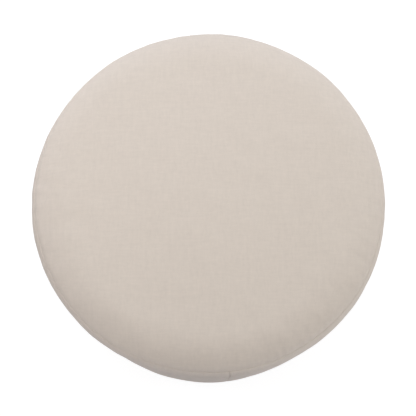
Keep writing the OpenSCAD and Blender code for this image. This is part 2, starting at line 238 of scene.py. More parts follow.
def relief(turn, along):
    """How far the cover stands out from its even outline."""
    run = turn * POUF_R
    spot = about_axis(turn, outline(along)[0])
    out = UNEVEN * waves(spot, 12, *UNEVEN_WAVES, SEED)
    out += LUMPS * waves(spot, 16, *LUMPS_WAVES, SEED + 1)
    gathers = ripple(run, SEAM_LOOP, *GATHERS_WAVES, SEED + 2)
    out += SEAM_GATHERS * gathers * fade(along, GATHERS_REACH)
    puckers = ripple(run, SEAM_LOOP, *PUCKERS_WAVES, SEED + 3)
    out += SEAM_PUCKERS * puckers * fade(along, PUCKERS_REACH)
    out -= SEAM_DIP * np.clip(1 - np.abs(along) / SEAM_PULL_W, 0, 1) ** 2

    side = np.clip(along / PUCKERS_REACH, 0, 1) * np.clip((UNDER - along) / BOTTOM_R, 0, 1)
    across = across_side_seam(turn)
    out -= side * SIDE_SEAM_DIP * np.clip(1 - np.abs(across) / SIDE_SEAM_W, 0, 1) ** 2
    side_puckers = ripple(along, HEM_END, *SIDE_PUCKERS_WAVES, SEED + 4)
    out += side * SIDE_SEAM_PUCKERS * side_puckers * fade(across, PUCKERS_REACH)

    # Under the base the hem lies flat at each staple and rises a little between two
    out *= np.clip(1 - (along - UNDER) / BOTTOM_R, 0, 1)
    between = 1 - (0.5 + 0.5 * np.cos((turn - SEAM_TURN) * HEM_STAPLES + math.pi)) ** 2
    near_rim = np.clip((along - FOOT) / BOTTOM_R, 0, 1) * fade(along - UNDER, HEM_TUCKS_REACH)
    return out + HEM_TUCKS * between * near_rim


def under_cover(turn, along, depth, swell=0.0, follow=1.0):
    """Points (radial, up) at a depth under the cover. follow is the share of its unevenness
    that they take, and swell how much further the cloth stands out there."""
    turn, along, depth = np.broadcast_arrays(turn, along, depth)
    wander = SEAM_WANDER * ripple(turn * POUF_R, SEAM_LOOP, *WANDER_WAVES, SEED + 5)
    point, n = outline(along + follow * wander * fade(along, WANDER_REACH))
    out = follow * relief(turn, along) + swell - depth
    return point + n * out[..., None]


def place(turn, along, depth, swell=0.0):
    """Points in space at a depth under the cover."""
    return about_axis(turn, under_cover(turn, along, depth, swell))


# Meshes

def new_mesh(name, points, faces, weave=None):
    """An object of points and faces. weave holds each point's place on the flat cloth."""
    mesh = bpy.data.meshes.new(name)
    mesh.from_pydata(np.asarray(points).tolist(), [], faces)
    if weave is not None:
        corner = np.zeros(len(mesh.loops), np.int32)
        mesh.loops.foreach_get("vertex_index", corner)
        layer = mesh.uv_layers.new(name="weave")
        layer.data.foreach_set("uv", np.asarray(weave, np.float32)[corner].ravel())
    mesh.polygons.foreach_set("use_smooth", np.ones(len(mesh.polygons), bool))
    obj = bpy.data.objects.new(name, mesh)
    bpy.context.scene.collection.objects.link(obj)
    return obj


def applied(obj):
    """The object with its modifiers applied, so that it holds a plain mesh."""
    graph = bpy.context.evaluated_depsgraph_get()
    mesh = bpy.data.meshes.new_from_object(obj.evaluated_get(graph), depsgraph=graph)
    obj.modifiers.clear()
    obj.data = mesh
    return obj


def thickened(obj, thickness):
    """A sheet with its thickness, half to each side."""
    wall = obj.modifiers.new("thickness", "SOLIDIFY")
    wall.thickness = thickness
    wall.offset = 0
    wall.use_even_offset = True
    return applied(obj)


def solid(obj):
    """A closed mesh with its doubled points joined and its faces turned outwards."""
    b = bmesh.new()
    b.from_mesh(obj.data)
    bmesh.ops.remove_doubles(b, verts=b.verts, dist=0.01 * MM)
    bmesh.ops.recalc_face_normals(b, faces=b.faces)
    b.to_mesh(obj.data)
    b.free()
    return obj


def used_only(faces, *fields):
    """Faces of a grid renumbered to the points that they use, and those points' values."""
    used, faces = np.unique(faces, return_inverse=True)
    return faces.reshape(-1, 4).tolist(), *(f.reshape(-1, *f.shape[2:])[used] for f in fields)


def swept(name, turns, sections, closed=True):
    """A solid swept about the axis through loops of points (radial, up), one at each turn."""
    columns, count, _ = sections.shape
    points = about_axis(turns[:, None], sections).reshape(-1, 3)
    faces = []
    for i in range(columns if closed else columns - 1):
        here, there = i * count, (i + 1) % columns * count
        for j in range(count):
            k = (j + 1) % count
            faces.append((here + j, here + k, there + k, there + j))
    if not closed:
        faces.append(tuple(range(count)))
        faces.append(tuple(range(len(points) - count, len(points))))
    return solid(new_mesh(name, points, faces))


def finer(field, times=2):
    """Values between the rows of a field, so that it has that many times the steps."""
    field = np.asarray(field, float)
    here = np.arange((len(field) - 1) * times + 1) / times
    low = np.minimum(here.astype(int), len(field) - 2)
    part = (here - low).reshape(-1, *[1] * (field.ndim - 1))
    return field[low] * (1 - part) + field[low + 1] * part


# Round cloths: a square grid drawn out to a disc fills the middle, and rows run round it

RIM_STEP = 4 * MM  # from the gridded middle to the first row


def round_grid(cells):
    """The gridded middle: places on a disc of radius 1, faces, and the rim in order."""
    u = np.linspace(-1, 1, cells + 1)
    x, y = np.meshgrid(u, u, indexing="ij")
    disc = np.stack([x * np.sqrt(1 - y * y / 2), y * np.sqrt(1 - x * x / 2)], -1).reshape(-1, 2)
    index = np.arange((cells + 1) ** 2).reshape(cells + 1, cells + 1)
    faces = np.stack([index[:-1, :-1], index[1:, :-1], index[1:, 1:], index[:-1, 1:]], -1)
    sides = [index[-1, :-1], index[:0:-1, -1], index[0, :0:-1], index[:-1, 0]]
    return disc, faces.reshape(-1, 4).tolist(), np.concatenate(sides).tolist()


def round_places(cells, reach, rows):
    """Turns and distances from the middle of a round cloth's points, and its faces."""
    disc, faces, rim = round_grid(cells)
    first, around = len(disc), 2 * len(rim)
    rim_turns = np.unwrap(np.arctan2(disc[rim, 1], disc[rim, 0]))
    turns = finer(np.append(rim_turns, rim_turns[0] + TURN))[:-1]
    for k, inner in enumerate(rim):
        inner_next = rim[(k + 1) % len(rim)]
        a, b, c = first + 2 * k, first + 2 * k + 1, first + (2 * k + 2) % around
        faces += [(inner, a, b), (inner, b, inner_next), (inner_next, b, c)]
    for i in range(rows - 1):
        for k in range(around):
            a, b = first + i * around + k, first + i * around + (k + 1) % around
            faces.append((a, a + around, b + around, b))
    turn = np.concatenate([np.arctan2(disc[:, 1], disc[:, 0]), np.tile(turns, rows)])
    return turn, np.linalg.norm(disc, axis=1) * reach, faces


# The cover's cloth, swelled by simulation between its stitches

SIM_FRAMES = 20
SIM_PRESSURE = 4
SWELL_MOST = 0.5 * MM
SWELL_SHARE = 0.3
SWELL_BAND = 8 * MM


def swelled(points, faces, sewn):
    """How far a cloth that is held where it is sewn swells outwards at each point."""
    obj = new_mesh("swelling_cloth", points, faces)
    normals = np.zeros(len(points) * 3)
    obj.data.vertices.foreach_get("normal", normals)
    group = obj.vertex_groups.new(name="sewn")
    group.add(np.flatnonzero(sewn).tolist(), 1, "REPLACE")
    cloth = obj.modifiers.new("swell", "CLOTH")
    settings = cloth.settings
    settings.quality = 6
    settings.mass = 0.4
    settings.tension_stiffness = 20
    settings.compression_stiffness = 20
    settings.shear_stiffness = 8
    settings.bending_stiffness = 0.6
    settings.vertex_group_mass = "sewn"
    settings.use_pressure = True
    settings.uniform_pressure_force = SIM_PRESSURE
    settings.effector_weights.gravity = 0
    cloth.collision_settings.use_collision = False
    cloth.point_cache.frame_start = 1
    cloth.point_cache.frame_end = SIM_FRAMES
    for frame_number in range(1, SIM_FRAMES + 1):
        bpy.context.scene.frame_set(frame_number)
    shown = obj.evaluated_get(bpy.context.evaluated_depsgraph_get())
    moved = np.zeros(len(points) * 3)
    shown.data.vertices.foreach_get("co", moved)
    bpy.data.objects.remove(obj)
    bpy.context.scene.frame_set(1)
    return ((moved.reshape(-1, 3) - points) * normals.reshape(-1, 3)).sum(1)


def swell_of(points, faces, sewn, along):
    """The uneven part of the swelling, less its mean at each length along. The cover is
    stretched tight over foam, so it keeps only a share of it."""
    out = swelled(points, faces, sewn)
    band = ((along - along.min()) / SWELL_BAND).astype(int)
    mean = np.bincount(band, out) / np.maximum(np.bincount(band), 1)
    centre = np.bincount(band, along) / np.maximum(np.bincount(band), 1)
    known = np.bincount(band) > 0
    uneven = out - np.interp(along, centre[known], mean[known])
    return SWELL_SHARE * SWELL_MOST * np.tanh(uneven / SWELL_MOST)


TOP_CELLS = 44
TOP_MIDDLE = 201 * MM

# How far from the top seam, the equator and the foot the rows begin to stand closer
CLOSER_ROWS = 46 * MM
CLOSEST_ROWS = 16 * MM
EQUATOR_ROWS = 10 * MM
FOOT_ROWS = 6 * MM


def top_rows():
    """Rows of the top panel outside its gridded middle: lengths along, and depths.
    The cloth turns down into the seam and runs on under the side panel."""
    skin = np.concatenate([
        np.linspace(CENTRE + TOP_MIDDLE + RIM_STEP, -CLOSER_ROWS, 7)[:-1],
        np.linspace(-CLOSER_ROWS, -CLOSEST_ROWS, 8)[:-1],
        np.linspace(-CLOSEST_ROWS, -FOLD_ALONG, 7)[:-1],
    ])
    quarter = np.linspace(0, math.pi / 2, 4)
    low = UNDER_SIDE_SEAM + MID
    down = -FOLD_ALONG + FOLD_MID_R * np.sin(quarter)
    inwards = down[-1] + FOLD_MID_R * (1 - np.cos(quarter))
    tail = np.linspace(inwards[-1], ALLOWANCE, 4)[1:]
    return np.concatenate([skin, down, inwards, tail]), np.concatenate([
        np.full(len(skin), MID),
        MID + FOLD_MID_R * (1 - np.cos(quarter)),
        low - FOLD_MID_R * (1 - np.sin(quarter)),
        np.full(len(tail), low),
    ])


def top_cloth():
    """The round top panel."""
    along, depth = top_rows()
    cells, rows, middle = TOP_CELLS, len(along), (TOP_CELLS + 1) ** 2

    def points_of(turn, reach, along, depth, swell):
        around = (len(turn) - len(reach)) // len(along)
        all_along = np.concatenate([CENTRE + reach, np.repeat(along, around)])
        all_depth = np.concatenate([np.full(len(reach), MID), np.repeat(depth, around)])
        return place(turn, all_along, all_depth, swell), all_along

    turn, reach, faces = round_places(cells, TOP_MIDDLE, rows)
    points, all_along = points_of(turn, reach, along, depth, 0.0)
    swell = swell_of(points, faces, all_along > -2 * FOLD_ALONG, all_along)
    patch = finer(finer(swell[:middle].reshape(cells + 1, cells + 1)).T).T
    ring = swell[middle:].reshape(rows, -1)
    ring = finer(finer(np.concatenate([ring, ring[:, :1]], 1).T).T)[:, :-1]
    swell = np.concatenate([patch.ravel(), ring.ravel()])

    along, depth = finer(along), finer(depth)
    turn, reach, faces = round_places(2 * cells, TOP_MIDDLE, len(along))
    points, all_along = points_of(turn, reach, along, depth, swell)
    flat = (all_along - CENTRE)[:, None] * np.stack([np.cos(turn), np.sin(turn)], -1)
    return thickened(new_mesh("top_cloth", points, faces, flat), COVER_T)


SIDE_COLUMNS = 188
FOLD_STEPS = 6


def side_rows():
    """Rows of a side panel: lengths along, depths, and how many come before its fold."""
    half = np.linspace(math.pi, 0, FOLD_STEPS + 1)
    fold = FOLD_ALONG - FOLD_MID_R * np.sin(half)
    inside = np.linspace(ALLOWANCE, FOLD_ALONG, 4)[:-1]
    skin = np.concatenate([
        np.linspace(FOLD_ALONG, CLOSEST_ROWS, 7)[1:],
        np.linspace(CLOSEST_ROWS, EQUATOR + EQUATOR_ROWS, 6)[1:],
        np.linspace(EQUATOR + EQUATOR_ROWS, FOOT - FOOT_ROWS, 28)[1:],
        np.linspace(FOOT - FOOT_ROWS, FOOT, 3)[1:],
        np.linspace(FOOT, UNDER, 5)[1:],
        np.linspace(UNDER, HEM_END, 9)[1:],
    ])
    return np.concatenate([inside, fold, skin]), MID + np.concatenate([
        np.full(len(inside), 2 * FOLD_MID_R),
        FOLD_MID_R * (1 - np.cos(half)),
        np.zeros(len(skin)),
    ]), len(inside)


def side_columns():
    """Columns of a side panel: turns from its first seam, the depths that its folded edges
    add, and how many come before the fold."""
    half = np.linspace(math.pi, 0, FOLD_STEPS + 1)
    fold = FOLD_TURN - FOLD_MID_R * np.sin(half) / POUF_R
    inside = np.linspace(ALLOWANCE / POUF_R, FOLD_TURN, 3)[:-1]
    skin = np.linspace(FOLD_TURN, math.pi - FOLD_TURN, SIDE_COLUMNS + 1)[1:-1]
    edge = np.concatenate([inside, fold])
    added = np.concatenate([
        np.full(len(inside), 2 * FOLD_MID_R), FOLD_MID_R * (1 - np.cos(half))
    ])
    turn = np.concatenate([edge, skin, math.pi - edge[::-1]])
    return turn, np.concatenate([added, np.zeros(len(skin)), added[::-1]]), len(inside)


def side_cloth(name, start):
    """One side panel, from its seam at start round half the pouf. Both its top edge and its
    upright edges are folded in, and the cloth is cut away where both folds would meet."""
    rows, columns = side_rows(), side_columns()

    def grid(times):
        along, depth = finer(rows[0], times), finer(rows[1], times)
        turn, added = finer(columns[0], times), finer(columns[1], times)
        top_fold_end = (rows[2] + FOLD_STEPS // 2) * times
        side_fold_mid = (columns[2] + FOLD_STEPS // 2) * times
        side_fold_end = (columns[2] + FOLD_STEPS) * times
        faces = []
        for i in range(len(along) - 1):
            turned_back = ALLOWANCE < along[i] and along[i + 1] < FOOT - SIDE_SEAM_FOOT
            for j in range(len(turn) - 1):
                from_edge = min(j, len(turn) - 2 - j)
                under_top = i < top_fold_end and from_edge < side_fold_end
                if under_top or (from_edge < side_fold_mid and not turned_back):
                    continue
                a = i * len(turn) + j
                faces.append((a, a + len(turn), a + len(turn) + 1, a + 1))
        return along, depth[:, None] + added, turn, np.array(faces)

    along, depth, turn, faces = grid(1)
    points = place(start + turn, along[:, None], depth)
    from_edge = np.minimum(np.arange(len(turn)), np.arange(len(turn))[::-1])
    sewn = (from_edge <= columns[2] + FOLD_STEPS) | (along < 2 * FOLD_ALONG)[:, None]
    sewn |= (along > FOOT)[:, None]
    index = np.arange(points.shape[0] * points.shape[1]).reshape(len(along), len(turn))
    full_along = np.broadcast_to(along[:, None], index.shape)
    packed, points, sewn, used_along, index = used_only(faces, points, sewn, full_along, index)
    swell = np.zeros(len(along) * len(turn))
    swell[index] = swell_of(points, packed, sewn, used_along)
    swell = finer(finer(swell.reshape(len(along), len(turn))).T).T

    along, depth, turn, faces = grid(2)
    points = place(start + turn, along[:, None], depth, swell)
    flat = np.stack(np.broadcast_arrays(turn * POUF_R, -along[:, None]), -1)
    packed, points, flat = used_only(faces, points, flat)
    return thickened(new_mesh(name, points, packed, flat), COVER_T)


# The padding, which follows the cover and makes room for the cloth turned in at its seams

PADDING_TURNS = np.linspace(0, TURN, 360, endpoint=False)


def room(turn, along):
    """How much deeper the padding lies under the seams, and for the cloth's swelling."""
    at_top = np.abs(along - ALLOWANCE / 2) < ALLOWANCE / 2 + COVER_T + LAY_GAP
    in_reach = (along > 0) & (along < FOOT - SIDE_SEAM_FOOT + LAY_GAP)
    at_side = in_reach & (np.abs(across_side_seam(turn)) < ALLOWANCE + LAY_GAP)
    deeper = np.where(at_side, UNDER_SIDE_SEAM - UNDER_COVER, 0)
    return SWELL_SHARE * SWELL_MOST + np.where(at_top, UNDER_TOP_SEAM - UNDER_COVER, deeper)


def wadding():
    """A layer of wadding over the seat foam, down to the deck."""
    low = EQUATOR + CORNER_C[1] - DECK_TOP_Z - LAY_GAP
    along = np.concatenate([
        np.linspace(CENTRE, -CLOSEST_ROWS, 50),
        np.linspace(-CLOSEST_ROWS, CLOSEST_ROWS, 24)[1:],
        np.linspace(CLOSEST_ROWS, low, 8)[1:],
    ])
    turn = PADDING_TURNS[:, None]
    outer = under_cover(turn, along, UNDER_COVER + room(turn, along))
    inner = under_cover(turn, along[::-1], UNDER_WADDING - LAY_GAP, follow=0)
    return swept("wadding", PADDING_TURNS, np.concatenate([outer, inner], 1))


def side_foam():
    """A strip of foam round the drum, glued on with a butt joint."""
    high = EQUATOR + CORNER_C[1] - DECK_TOP_Z
    along = np.concatenate([np.linspace(high, FOOT, 40), np.linspace(FOOT, UNDER, 5)[1:]])
    joint = FOAM_JOINT_W / POUF_R
    turns = np.linspace(joint / 2, TURN - joint / 2, len(PADDING_TURNS) + 1) + FOAM_JOINT_TURN
    turn = turns[:, None]
    outer = under_cover(turn, along, UNDER_COVER + room(turn, along))
    in_r = POUF_R - UNDER_COVER - SIDE_FOAM_T
    up = np.linspace(BASE_Z, DECK_TOP_Z, 20)
    inner = np.stack([np.full(len(up), in_r), up], -1)
    inner = np.broadcast_to(inner, (len(turns), *inner.shape))
    return swept("side_foam_strip", turns, np.concatenate([outer, inner], 1), closed=False)


def turned_solid(name, section):
    """A solid turned from one section (radial, up)."""
    sections = np.broadcast_to(section, (len(PADDING_TURNS), *section.shape))
    return swept(name, PADDING_TURNS, sections)


def under_wadding(low, high):
    """The section of the foam under the wadding between two heights, from the top down."""
    section = under_cover(0.0, np.linspace(CENTRE, FOOT, 800), UNDER_WADDING, follow=0)
    up = section[:, 1]
    kept = section[(up > low + MM) & (up < high)][::8]
    low_end = [np.interp(-low, -up, section[:, 0]), low]
    return np.concatenate([kept, [low_end]])


def seat_foam():
    """The thick seat block, cut from a sheet and rounded to the shoulder."""
    rim = under_wadding(DECK_TOP_Z, PAD_Z)
    return turned_solid("seat_foam_block", np.concatenate([[[0, PAD_Z]], rim, [[0, DECK_TOP_Z]]]))


def crown_pad():
    """The shallow lens of foam that gives the seat its crown."""
    dome = under_wadding(PAD_Z + CROWN_PAD_EDGE, POUF_H)
    edge = [[PAD_R, PAD_Z], [0, PAD_Z]]
    return turned_solid("crown_pad_lens", np.concatenate([dome, edge]))


# Under the base

DUST_CELLS = 30
DUST_MIDDLE = 150 * MM
DUST_STEP = (242 * MM, 246 * MM)
DUST_WRINKLE = 0.25 * MM
DUST_WRINKLE_WAVES = (30 * MM, 120 * MM)
DUST_SAG = 2  # in heights of a wrinkle
GLIDE_EDGE = 0.55  # from a glide's middle, in its diameters
STAPLES_REACH = 24 * MM


def dust_cloth():
    """The cloth under the base: flat on the board, over the hem at its edge, and a little
    slack between the glides and the staples."""
    rings = np.linspace(DUST_MIDDLE + RIM_STEP, DUST_R, 32)
    turn, reach, faces = round_places(DUST_CELLS, DUST_MIDDLE, len(rings))
    radial = np.concatenate([reach, np.repeat(rings, (len(turn) - len(reach)) // len(rings))])
    up = np.interp(radial, DUST_STEP, (GLIDE_H, DUST_LOW_Z)) + DUST_T / 2
    points = about_axis(turn, np.stack([radial, up], -1))
    slack = np.clip((DUST_STEP[0] - radial) / STAPLES_REACH, 0, 1)
    first = math.atan2(FIRST_GLIDE.y, FIRST_GLIDE.x)
    ring_r = math.hypot(FIRST_GLIDE.x, FIRST_GLIDE.y)
    for i in range(GLIDE_COUNT):
        at = first + i * TURN / GLIDE_COUNT
        away = np.hypot(points[:, 0] - ring_r * math.cos(at), points[:, 1] - ring_r * math.sin(at))
        slack *= np.clip(away / GLIDE_D - GLIDE_EDGE, 0, 1)
    wrinkle = waves(points, 12, *DUST_WRINKLE_WAVES, SEED + 6) - DUST_SAG
    points[:, 2] += DUST_WRINKLE * wrinkle * slack
    return thickened(new_mesh("dust_cloth", points, faces, points[:, :2]), DUST_T)


# Nodes

def add(tree, kind, inputs=(), **settings):
    """Adds a node with its settings and links, and gives its outputs. inputs holds values or
    other nodes' outputs, in the node's own order or by name."""
    n = tree.nodes.new(kind)
    for key, value in settings.items():
        setattr(n, key, value)
    for key, value in inputs.items() if isinstance(inputs, dict) else enumerate(inputs):
        if isinstance(value, bpy.types.NodeSocket):
            tree.links.new(value, n.inputs[key])
        else:
            n.inputs[key].default_value = value
    return n.outputs


# Stitches

STITCH = 3 * MM
STITCH_LENGTH = 1.7 * MM
THREAD_D = 0.4 * MM
STITCH_DEPTH = 0.8 * MM
SIDE_STITCH_DEPTH = 1.2 * MM
STITCH_SLANT = 0.15
ACROSS_STEP = 0.5 * MM  # to the point beside a line that shows the way across it


def stitch_nodes():
    """Geometry Nodes: short bars of thread across a line, one at each stitch. The line's
    points hold the way across it."""
    tree = bpy.data.node_groups.new("seam_stitches", "GeometryNodeTree")
    tree.interface.new_socket("Seam", in_out="INPUT", socket_type="NodeSocketGeometry")
    for label in ("Spacing", "Length", "Diameter"):
        tree.interface.new_socket(label, in_out="INPUT", socket_type="NodeSocketFloat")
    tree.interface.new_socket("Thread", in_out="INPUT", socket_type="NodeSocketMaterial")
    tree.interface.new_socket("Stitches", in_out="OUTPUT", socket_type="NodeSocketGeometry")
    given = add(tree, "NodeGroupInput")
    across = add(tree, "GeometryNodeInputNamedAttribute", {"Name": "across"},
                 data_type="FLOAT_VECTOR")["Attribute"]
    line = add(tree, "GeometryNodeMeshToCurve", {"Mesh": given["Seam"]})[0]
    spots = add(tree, "GeometryNodeResampleCurve", {
        "Curve": line, "Length": given["Spacing"]
    }, mode="LENGTH")[0]
    bar = add(tree, "GeometryNodeMeshUVSphere", {
        "Segments": 6, "Rings": 5, "Radius": 0.5
    })["Mesh"]
    slant = add(tree, "FunctionNodeRandomValue", {
        0: (-STITCH_SLANT,) * 3, 1: (STITCH_SLANT,) * 3, "Seed": SEED
    }, data_type="FLOAT_VECTOR")[0]
    way = add(tree, "ShaderNodeVectorMath", (across, slant), operation="ADD")[0]
    turned = add(tree, "FunctionNodeAlignRotationToVector", {"Vector": way}, axis="Z")[0]
    size = add(tree, "ShaderNodeCombineXYZ", {
        "X": given["Diameter"], "Y": given["Diameter"], "Z": given["Length"]
    })[0]
    bars = add(tree, "GeometryNodeInstanceOnPoints", {
        "Points": spots, "Instance": bar, "Rotation": turned, "Scale": size
    })[0]
    real = add(tree, "GeometryNodeRealizeInstances", {"Geometry": bars})[0]
    painted = add(tree, "GeometryNodeSetMaterial", {
        "Geometry": real, "Material": given["Thread"]
    })[0]
    add(tree, "NodeGroupOutput", (painted,))
    return tree


def stitches(thread):
    """The thread that shows in the top seam and the two upright seams."""
    loop = np.linspace(0, TURN, 720, endpoint=False)
    down = np.linspace(ALLOWANCE / 2, FOOT, 90)
    lines = [(place(loop, 0.0, STITCH_DEPTH), place(loop, ACROSS_STEP, STITCH_DEPTH), True)]
    for turn in (SEAM_TURN, SEAM_TURN + math.pi):
        beside = turn + ACROSS_STEP / POUF_R
        lines.append((
            place(turn, down, SIDE_STITCH_DEPTH), place(beside, down, SIDE_STITCH_DEPTH), False
        ))
    points = np.concatenate([line[0] for line in lines])
    across = np.concatenate([line[1] for line in lines]) - points
    edges, first = [], 0
    for line, _, closed in lines:
        last = len(line) if closed else len(line) - 1
        edges += [(first + i, first + (i + 1) % len(line)) for i in range(last)]
        first += len(line)
    obj = new_mesh("seam_stitches", points, [])
    obj.data.edges.add(len(edges))
    obj.data.edges.foreach_set("vertices", np.array(edges).ravel())
    way = across / np.linalg.norm(across, axis=1, keepdims=True)
    layer = obj.data.attributes.new("across", "FLOAT_VECTOR", "POINT")
    layer.data.foreach_set("vector", way.ravel())
    obj.data.update()
    tree = stitch_nodes()
    sewing = obj.modifiers.new("sewing", "NODES")
    sewing.node_group = tree
    given = {
        "Spacing": STITCH, "Length": STITCH_LENGTH, "Diameter": THREAD_D, "Thread": thread
    }
    for socket in tree.interface.items_tree:
        if socket.name in given:
            sewing[socket.identifier] = given[socket.name]
    return applied(obj)


# Finishes, whose patterns have real sizes but where a comment says otherwise

def hex_colour(code):
    """A colour written as sRGB hex, as linear red, green, blue and alpha."""
    parts = [int(code[i: i + 2], 16) / 255 for i in (1, 3, 5)]
    return (*(c / 12.92 if c <= 0.04045 else ((c + 0.055) / 1.055) ** 2.4 for c in parts), 1)


def new_finish(name, colour, roughness, sockets=None):
    """A material and its nodes, with the shader values that are the same all over."""
    finish = bpy.data.materials.new(name)
    finish.use_nodes = True
    finish.diffuse_color = hex_colour(colour)
    for key, value in {"Roughness": roughness, **(sockets or {})}.items():
        shader_of(finish).inputs[key].default_value = value
    return finish, finish.node_tree


def shader_of(finish):
    return finish.node_tree.nodes["Principled BSDF"]


def patches(tree, at, size, detail=2.0):
    """Random soft patches, from 0 to 1, with a size along each axis."""
    spot = add(tree, "ShaderNodeVectorMath", (at, size), operation="DIVIDE")[0]
    return add(tree, "ShaderNodeTexNoise", {
        "Vector": spot, "Scale": 1.0, "Detail": detail, "Roughness": 0.55
    })[0]


def total(tree, *weighed):
    """The sum of outputs, each times its weight."""
    so_far = 0.0
    for value, weight in weighed:
        so_far = add(tree, "ShaderNodeMath", (value, weight, so_far), operation="MULTIPLY_ADD")[0]
    return so_far


def grained(finish, tone, dark, light, height, depth, strength=0.5):
    """Makes a finish's colour darker and lighter by a tone from 0 to 1, and its face uneven
    by a height, which stands out by a depth in metres."""
    tree, shader = finish.node_tree, shader_of(finish)
    factor = add(tree, "ShaderNodeMapRange", {"Value": tone, "To Min": dark, "To Max": light})[0]
    paint = add(tree, "ShaderNodeVectorMath", {
        0: finish.diffuse_color[:3], "Scale": factor
    }, operation="SCALE")[0]
    tree.links.new(paint, shader.inputs["Base Color"])
    bump = add(tree, "ShaderNodeBump", {
        "Strength": strength, "Distance": depth, "Height": height
    })[0]
    tree.links.new(bump, shader.inputs["Normal"])


LINEN = "#dcd1c7"
YARN = 1.0 * MM
SLUB_W = 6 * MM


def woven(tree, flat):
    """How high a plain weave stands: warp and weft pass over each other by turns."""
    turns = add(tree, "ShaderNodeVectorMath", (flat, (math.pi / YARN,) * 3), operation="MULTIPLY")[0]
    wave = add(tree, "ShaderNodeVectorMath", (turns,), operation="SINE")[0]
    round_yarns = add(tree, "ShaderNodeVectorMath", (wave,), operation="ABSOLUTE")[0]
    warp, weft, _ = add(tree, "ShaderNodeSeparateXYZ", (round_yarns,))
    which = add(tree, "ShaderNodeTexChecker", {
        "Vector": flat, "Color1": (1, 1, 1, 1), "Color2": (0, 0, 0, 1), "Scale": 1 / YARN
    })["Fac"]
    over = []
    for yarn, other in ((warp, weft), (weft, warp)):
        bend = add(tree, "ShaderNodeMath", (other, 0.4), operation="POWER")[0]
        over.append(add(tree, "ShaderNodeMath", (yarn, bend), operation="MULTIPLY")[0])
    return add(tree, "ShaderNodeMix", {0: which, 2: over[0], 3: over[1]}, data_type="FLOAT")[0]


def linen_look():
    """Upholstery cloth in a plain weave of uneven yarns, piece-dyed. The eye sees a matt,
    warm grey cream with short thick and thin places along both threads. These are drawn
    three yarns wide, because one yarn is less than a pixel of the photograph."""
    finish, tree = new_finish("linen_look_upholstery", LINEN, 0.92, {
        "Sheen Weight": 0.12, "Sheen Roughness": 0.6, "Specular IOR Level": 0.25
    })
    flat = add(tree, "ShaderNodeUVMap", uv_map="weave")[0]
    warp = patches(tree, flat, (3 * YARN, 11 * MM, 1), 1.0)
    weft = patches(tree, flat, (13 * MM, 3 * YARN, 1), 1.0)
    slub_warp = patches(tree, flat, (SLUB_W, 30 * MM, 1), 0.0)
    slub_weft = patches(tree, flat, (34 * MM, SLUB_W, 1), 0.0)
    tone = total(tree, (warp, 0.34), (weft, 0.34), (slub_warp, 0.2), (slub_weft, 0.2))
    height = total(tree, (woven(tree, flat), 1), (warp, 0.6), (weft, 0.6))
    grained(finish, tone, 0.9, 1.1, height, 0.18 * MM, 0.35)
    return finish


def sewing_thread():
    """Spun polyester thread in the cloth's colour: two plies twisted, a little shinier."""
    finish, tree = new_finish("polyester_sewing_thread", LINEN, 0.7, {"Sheen Weight": 0.1})
    at = add(tree, "ShaderNodeTexCoord")["Object"]
    twist = patches(tree, at, (0.25 * MM,) * 3)
    grained(finish, twist, 0.85, 1.1, twist, 0.05 * MM)
    return finish


def polyester_wadding():
    """Bonded polyester wadding: white crimped fibres in soft loose clumps."""
    finish, tree = new_finish("bonded_polyester_wadding", "#efece6", 1.0, {"Sheen Weight": 0.3})
    at = add(tree, "ShaderNodeTexCoord")["Object"]
    clumps = patches(tree, at, (14 * MM,) * 3, 5.0)
    fibres = patches(tree, at, (0.6 * MM, 3 * MM, 0.6 * MM), 1.0)
    height = total(tree, (clumps, 1), (fibres, 0.4))
    grained(finish, clumps, 0.92, 1.06, height, 0.8 * MM)
    return finish


def polyurethane_foam():
    """Open-cell foam cut with a wire: a yellowish cream face full of fine open pores."""
    finish, tree = new_finish("cut_polyurethane_foam", "#e6dfc8", 0.95)
    at = add(tree, "ShaderNodeTexCoord")["Object"]
    cells = add(tree, "ShaderNodeVectorMath", (at, (0.9 * MM,) * 3), operation="DIVIDE")[0]
    pores = add(tree, "ShaderNodeTexVoronoi", {"Vector": cells, "Scale": 1.0})["Distance"]
    shade = patches(tree, at, (40 * MM,) * 3)
    tone = total(tree, (pores, 0.6), (shade, 0.5))
    grained(finish, tone, 0.86, 1.08, pores, 0.3 * MM)
    return finish


def birch_plywood():
    """Birch plywood: pale rotary-cut faces with long soft figure, and edges in thin plies
    of end grain and long grain by turns."""
    finish, tree = new_finish("birch_plywood", "#c9a877", 0.6)
    ply_t = 1.5 * MM
    at = add(tree, "ShaderNodeTexCoord")["Object"]
    figure = patches(tree, at, (160 * MM, 14 * MM, 6 * MM), 4.0)
    pores = patches(tree, at, (9 * MM, 0.5 * MM, 0.5 * MM), 1.0)
    up = add(tree, "ShaderNodeSeparateXYZ", (at,))[2]
    within = add(tree, "ShaderNodeMath", (up, ply_t), operation="PINGPONG")[0]
    ply = add(tree, "ShaderNodeMath", (within, ply_t / 2), operation="GREATER_THAN")[0]
    tone = total(tree, (figure, 0.6), (pores, 0.3), (ply, -0.12))
    grained(finish, tone, 0.78, 1.2, pores, 0.08 * MM)
    return finish


